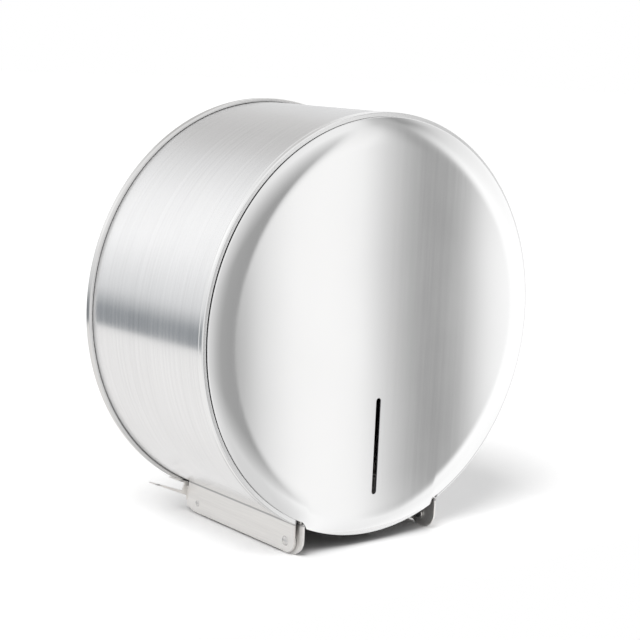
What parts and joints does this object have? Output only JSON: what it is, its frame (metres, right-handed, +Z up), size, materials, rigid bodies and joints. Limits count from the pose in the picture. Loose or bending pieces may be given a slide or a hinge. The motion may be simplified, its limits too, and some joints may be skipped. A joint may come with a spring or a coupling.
{
  "type": "jumbo toilet roll dispenser",
  "caption": "Round wall-mounted stainless dispenser for jumbo toilet rolls: a drum with an open outlet between two cheeks, a hinged door with a rolled edge with a sight slot, a lock and a turning core hub.",
  "frame": {"origin": "centre of the four wall screws, on the face that lies against the wall; the drum's axis runs through it", "axes": "+X to the right, +Y into the wall, +Z up; the door faces -Y"},
  "size_m": [0.2704, 0.1293, 0.275],
  "materials": {
    "brushed_sheet": "brushed round the drum, satin",
    "polished_steel": "fine satin",
    "door_steel": "fine horizontal brushing, bright satin",
    "plain_sheet": "dull mill finish",
    "screw_steel": "plain turned",
    "lock_chrome": "bright plated",
    "hub_plastic": "moulded, fine texture",
    "gasket_rubber": "matt"
  },
  "bodies": {
    "casing": {"back_plate": "brushed_sheet", "drum_wall": "brushed_sheet", "front_rim": "polished_steel", "cheek_left": "plain_sheet", "cheek_right": "plain_sheet", "wall_brackets": "plain_sheet", "bracket_screws": "screw_steel", "tear_bar": "plain_sheet", "tear_bar_rivets": "screw_steel", "cheek_fork": "plain_sheet", "pivot_rivets": "screw_steel", "pivot_washers": "screw_steel", "spindle_flange": "plain_sheet", "spindle_post": "polished_steel", "spindle_screws": "screw_steel", "hub_retainer": "polished_steel", "retainer_screw": "screw_steel", "lock_barrel": "lock_chrome", "lock_gasket": "gasket_rubber", "lock_nut": "lock_chrome"},
    "door": {"door_dish": "door_steel", "door_ear_left": "plain_sheet", "door_ear_right": "plain_sheet", "door_catch": "plain_sheet"},
    "hub": {"core_hub": "hub_plastic"},
    "lock": {"lock_plug": "lock_chrome", "lock_cam": "plain_sheet", "cam_screw": "screw_steel"}
  },
  "joints": [
    {"name": "door_hinge", "type": "hinge", "parent": "casing", "child": "door", "pos_m": [0, -0.1146, -0.1318], "axis": [1, 0, 0], "range_deg": [0, 170]},
    {"name": "hub_spin", "type": "hinge", "parent": "casing", "child": "hub", "pos_m": [0, -0.05, 0], "axis": [0, 1, 0], "continuous": true},
    {"name": "lock_turn", "type": "hinge", "parent": "casing", "child": "lock", "pos_m": [0.09193, -0.0998, 0.07713], "axis": [0.766, 0, 0.6428], "range_deg": [0, 90]}
  ]
}
